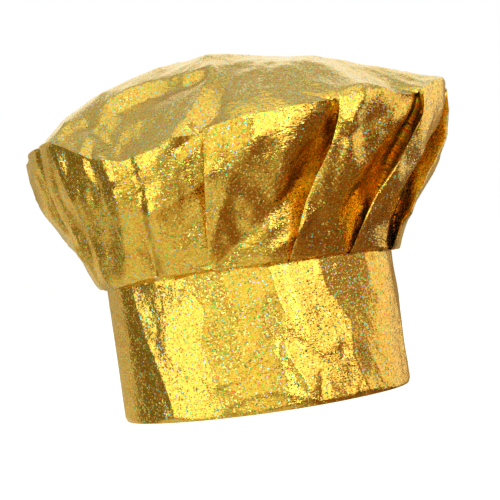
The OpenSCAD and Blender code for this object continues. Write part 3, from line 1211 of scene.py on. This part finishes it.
@dataclass
class Closure:
    """The flap, its foil and the two halves of the closure, with their stitches."""

    plan: BandPlan = field(default_factory=BandPlan)
    inset: float = 0.001
    foil_thickness: float = 0.0003
    lap: float = 0.006

    def tapes(self) -> tuple[TapePiece, TapePiece]:
        """Places the hook tape under the flap and the loop tape on the underlap."""
        plan, glue, behind = self.plan, 0.00008, -self.plan.drop - self.plan.stack
        hook_off, loop_off = -plan.stack - glue, -plan.drop + glue
        return (
            TapePiece(Grip.HOOK, -plan.end + 0.003, 0.025, hook_off, -1, "closure_flap", 0.00125, 0.00045),
            TapePiece(Grip.LOOP, -plan.end + 0.001, 0.044, loop_off, 1, "band", 0.0013, behind),
        )

    def back(self, t: Array, off: Array | float, z: Array | float) -> Array:
        """Gives points beside the back, with no step inwards."""
        t, off, z = np.broadcast_arrays(np.asarray(t, float), off, z)
        x, y = self.plan.outline.beside(np.mod(t, self.plan.outline.perimeter), off)
        return np.stack([x, y, z], axis=-1)

    def flap_foil(self, finishes: Finishes) -> Object:
        """Builds the foil round the flap: its face, its wrapped edges and its folded end."""
        plan = self.plan
        low, high, inside = self.inset, plan.height - self.inset, -plan.stack - 0.00005
        turned = [
            (inside, 0.007), (inside, 0.0008), (inside + 0.0004, 0.0001), (-0.0004, 0.0001), (0.0, 0.0006),
        ]
        path = [(off, low + up) for off, up in turned]
        path += [(0.0, z) for z in np.linspace(low + 0.003, high - 0.003, 40)]
        path += [(off, high - down) for off, down in reversed(turned)]
        off, z = columns_of(path)
        along = np.linspace(plan.root - 0.0004, -plan.end + 0.0006, 40)
        t = np.concatenate([along, [-plan.end + 0.0001, -plan.end]])
        end = np.zeros(len(t))
        end[-2:] = 0.12, 1.0
        off = off + (inside - off) * end
        tall = np.stack(np.broadcast_arrays(t, z * 0.6, 0.0), axis=-1).reshape(-1, 3)
        ripple = np.clip(ridges(tall, 0.02, 8.0).reshape(off.shape) + 0.5, 0, 1) * 0.00045
        face = (np.abs(off) < 1e-5) & (t > -plan.end + 0.004) & (t < plan.root - 0.003)
        points = self.back(t, off + ripple * face, z)
        section = np.linalg.norm(np.diff(points[:, 0], axis=0), axis=1)
        sheet = Sheet(points, laid_flat(-t, running(section)))
        obj = sheet.build("flap_foil", [finishes.foil, finishes.backing], self.foil_thickness)
        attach(obj, "closure_flap")
        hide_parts("flap_cover")
        return obj

    def root_lap(self, finishes: Finishes) -> Object:
        """Builds the foil where it carries on from the band over the flap's root."""
        plan = self.plan
        t = np.linspace(plan.root + self.lap, plan.root - self.lap, 26)
        z = np.linspace(self.inset + 0.0012, plan.height - self.inset - 0.0012, 40)
        lift = 0.0007 + 0.0005 * ease(np.abs(t - plan.root), self.lap, self.lap * 0.5)
        sheet = Sheet(self.back(t, lift, z[:, None]), laid_flat(-t, z))
        obj = sheet.build("flap_root_foil", [finishes.foil, finishes.backing], 0.0002)
        start, end = self.back(np.array([plan.root + 0.002, plan.root - 0.002]), 0.0, plan.height / 2)
        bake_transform(obj)
        return obj

    def tape(self, piece: TapePiece, finishes: Finishes) -> list[Object]:
        """Builds one half of the closure: woven base, hooks or loops, and box stitching.

        Args:
            piece: which half, and where.
            finishes: the hat's materials.

        Returns:
            The base, its hooks or loops, and its stitches.
        """
        name, hooked = piece.grip.value, piece.grip is Grip.HOOK
        t = np.linspace(piece.start, piece.start + piece.width, 20)[:: -piece.facing]
        z = np.linspace(piece.low, piece.high, 34)
        sheet = Sheet(self.back(t, piece.top, z[:, None]), laid_flat(t, z))
        woven = sheet.build(f"{name}_tape_base", [finishes.tape], piece.thickness)
        model = Hook().model() if hooked else PileLoop().model()
        pile = finishes.hooks if hooked else finishes.loops
        nap = scatter(f"{name}_nap", model, self.nap_frames(piece), pile)
        stitch = Stitch(length=0.0024).model()
        sewn = scatter(f"{name}_tape_stitches", stitch, self.box_frames(piece), finishes.thread)
        for obj, slot in ((woven, name), (nap, name), (sewn, "thread")):
            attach(obj, piece.body)
        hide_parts(f"{name}_tape")
        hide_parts(f"{name}_tape_stitching")
        return [woven, nap, sewn]

    def nap_frames(self, piece: TapePiece) -> list[Array]:
        """Places the hooks in staggered rows, or the loops, each turned its own way."""
        frames = []
        margin, step = 0.003, 0.001
        first, last = piece.start + margin, piece.start + piece.width - margin
        wobble = np.random.default_rng(7)
        for i, row in enumerate(np.arange(piece.low + margin, piece.high - margin, piece.pitch)):
            shift = piece.pitch / 2 * (i % 2)
            for at in np.arange(first + shift, last, piece.pitch):
                here, there = self.back(np.array([at, at + step]), piece.top, row)
                out = self.back(np.array([at]), piece.top + 0.01 * piece.facing, row)[0] - here
                along = there - here
                if piece.grip is Grip.LOOP:
                    turn = wobble.uniform(0, math.pi)
                    along = along * math.cos(turn) + np.array([0, 0, step]) * math.sin(turn)
                frames.append(placing(here, along, out))
        return frames

    def box_frames(self, piece: TapePiece) -> list[Array]:
        """Places stitches in a rectangle, seen on the tape and on the foil behind it."""
        inset = 0.002
        t0, t1 = piece.start + inset, piece.start + piece.width - inset
        z0, z1 = piece.low + inset, piece.high - inset
        corners = [(t0, z0), (t1, z0), (t1, z1), (t0, z1), (t0, z0)]
        faces = ((piece.top, piece.facing), (piece.far_side, -piece.facing))
        frames = []
        for (ta, za), (tb, zb) in zip(corners, corners[1:]):
            length = math.hypot(tb - ta, zb - za)
            for s in np.arange(STITCH_PITCH / 2, length, STITCH_PITCH) / length:
                ends = np.array([s - 0.01, s + 0.01])
                for off, side in faces:
                    a, b = self.back(ta + (tb - ta) * ends, off, za + (zb - za) * ends)
                    c = self.back(np.array([ta + (tb - ta) * s]), off + 0.01 * side, za + (zb - za) * s)[0]
                    frames.append(placing((a + b) / 2, b - a, c - (a + b) / 2))
        return frames

    def build(self, finishes: Finishes) -> list[Object]:
        """Builds the closure's pieces."""
        made = [self.flap_foil(finishes), self.root_lap(finishes)]
        for piece in self.tapes():
            made += self.tape(piece, finishes)
        return made


# ---------------------------------------------------------------- the studio


@dataclass(frozen=True)
class Softbox:
    """A rectangular studio light, placed by direction from the hat."""

    name: str
    azimuth: float
    elevation: float
    distance: float
    width: float
    height: float
    glow: float
    colour: str = "#FFFFFF"

    def build(self, aim: Vector) -> None:
        """Makes the light; azimuth 0 is in front, and 90 is at +X."""
        a, e = math.radians(self.azimuth), math.radians(self.elevation)
        away = Vector((math.sin(a) * math.cos(e), -math.cos(a) * math.cos(e), math.sin(e)))
        data = bpy.data.lights.new(self.name, "AREA")
        data.shape = "RECTANGLE"
        data.size, data.size_y = self.width, self.height
        data.energy = self.glow * math.pi * self.width * self.height
        data.color = linear(self.colour)[:3]
        lamp = bpy.data.objects.new(self.name, data)
        lamp.location = aim + away * self.distance
        lamp.rotation_mode = "QUATERNION"
        lamp.rotation_quaternion = away.to_track_quat("Z", "Y")
        lamp.visible_camera = False
        bpy.context.scene.collection.objects.link(lamp)


@dataclass
class Studio:
    """A plain pale floor, soft light, and the camera."""

    aim: Vector = field(default_factory=lambda: Vector((0.0022, 0.0, 0.1115)))
    distance: float = 1.0
    elevation: float = 0.0
    lens: float = 97.4
    roll: float = 8.0
    # The room from its base to its ceiling, on the left and on the right.
    left_room: tuple[tuple[float, str], ...] = (
        (0.0, "#E8E0C8"), (0.18, "#DCD2B4"), (0.29, "#9C8E68"), (0.40, "#E2DAB4"),
        (0.50, "#A89C74"), (0.57, "#C8C2A0"), (0.78, "#BCBAB0"), (1.0, "#C0C0BC"),
    )
    right_room: tuple[tuple[float, str], ...] = (
        (0.0, "#946A38"), (0.22, "#8A5C2C"), (0.33, "#5E3A1C"), (0.43, "#BA9452"),
        (0.50, "#94703E"), (0.57, "#B8A884"), (0.78, "#BCBAB0"), (1.0, "#C0C0BC"),
    )
    turning_right: tuple[float, float] = (0.46, 0.82)
    dark_wall: str = "#7C6A30"
    wall_from: tuple[float, float] = (0.09, 0.02)
    wall_top: tuple[float, float] = (0.85, 0.6)
    lit_height: float = 0.13
    boxes: tuple[Softbox, ...] = (
        Softbox("key", 34, 8, 1.3, 0.85, 1.3, 1.25),
        Softbox("front", -10, 4, 1.45, 0.75, 1.15, 0.70, "#F2FACC"),
        Softbox("left", -52, 4, 1.3, 0.8, 1.35, 1.25),
        Softbox("right", 108, 5, 1.4, 1.3, 1.3, 0.7),
        Softbox("top", 0, 75, 1.2, 1.6, 1.2, 0.50),
        Softbox("flag", -132, 0, 1.2, 0.9, 1.2, 0.16, "#D8A050"),
        Softbox("back", 176, 28, 1.5, 1.6, 1.0, 0.62),
        Softbox("spark", 6, 42, 1.2, 0.14, 0.14, 14.0),
        Softbox("spark_low", 20, -4, 1.3, 0.08, 0.30, 8.0),
    )

    def camera(self) -> None:
        """Makes the camera, level with the hat and rolled a little."""
        data = bpy.data.cameras.new("camera")
        data.lens = self.lens
        data.sensor_width = 36.0
        data.dof.use_dof = False
        cam = bpy.data.objects.new("camera", data)
        e = math.radians(self.elevation)
        back = Vector((0, -math.cos(e), math.sin(e)))
        cam.location = self.aim + back * self.distance
        turn = back.to_track_quat("Z", "Y").to_matrix().to_4x4()
        roll = Matrix.Rotation(math.radians(-self.roll), 4, "Z")
        cam.matrix_world = Matrix.Translation(cam.location) @ turn @ roll
        bpy.context.scene.collection.objects.link(cam)
        bpy.context.scene.camera = cam

    def floor(self) -> None:
        """Makes the floor: a wide, matt, pale sheet that the foil doesn't mirror."""
        only(None)
        bpy.ops.mesh.primitive_plane_add(size=60, location=(0, 0, 0))
        floor = bpy.context.active_object
        floor.name = "floor"
        floor.data.materials.append(GlowingFloor().make())
        floor.visible_glossy = False

    def world(self) -> None:
        """Lights the room: white behind, and graded from a bright ceiling to a dim base."""
        world = bpy.data.worlds.new("studio")
        bpy.context.scene.world = world
        world.use_nodes = True
        tree = world.node_tree
        tree.nodes.clear()
        direction = add(tree, "SeparateXYZ", {0: add(tree, "TexCoord").outputs["Generated"]})
        level = maths(tree, "MULTIPLY_ADD", direction.outputs[2], 0.5, 0.5)
        side = maths(tree, "MULTIPLY_ADD", direction.outputs[0], 0.5, 0.5)
        left, right = ramp(tree, level, self.left_room), ramp(tree, level, self.right_room)
        room = mix(tree, rise(tree, side, *self.turning_right), left, right)
        # A dark wall at the far left, which the hat's left side mirrors.
        dark = maths(tree, "MULTIPLY", rise(tree, side, *self.wall_from), rise(tree, level, *self.wall_top))
        room = mix(tree, dark, room, linear(self.dark_wall))
        # What the camera sees directly is plain white.
        eye = add(tree, "LightPath").outputs["Is Camera Ray"]
        lit = add(tree, "Background", {"Color": room, "Strength": 1.0}).outputs[0]
        seen = add(tree, "Background", {"Color": (1, 1, 1, 1), "Strength": 1.0}).outputs[0]
        mixed = add(tree, "MixShader", {0: eye, 1: lit, 2: seen}).outputs[0]
        add(tree, "OutputWorld", {"Surface": mixed})

    def build(self) -> None:
        """Sets up the whole studio."""
        self.camera()
        self.floor()
        self.world()
        for box in self.boxes:
            box.build(Vector((0, 0, self.lit_height)))
        view = bpy.context.scene.view_settings
        view.view_transform = "Standard"
        view.look = "None"
        view.exposure = 0.0


# ---------------------------------------------------------------- putting it together


def main() -> None:
    """Builds the hat and the studio, and reports each piece."""
    logging.basicConfig(level=logging.INFO, format="%(name)s: %(message)s")
    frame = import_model()
    outline = Outline()
    plan = BandPlan(outline=outline)
    finishes = make_finishes()
    Studio().build()
    made = [
        Crown(outline=outline, sewn=(plan.first, plan.last)).build(finishes),
        *Band(plan=plan).build(finishes),
        *Closure(plan=plan).build(finishes),
    ]
    plies = {
        "band_stiffener": finishes.board, "flap_stiffener": finishes.board,
        "band_facing": finishes.backing, "flap_facing": finishes.backing,
    }
    for name, finish in plies.items():
        mesh = frame["nodes"][name].data
        mesh.materials.clear()
        mesh.materials.append(finish)
    for piece in made:
        log.info("%s: %d faces", piece.name, len(piece.data.polygons))


if __name__ == "__main__":
    main()
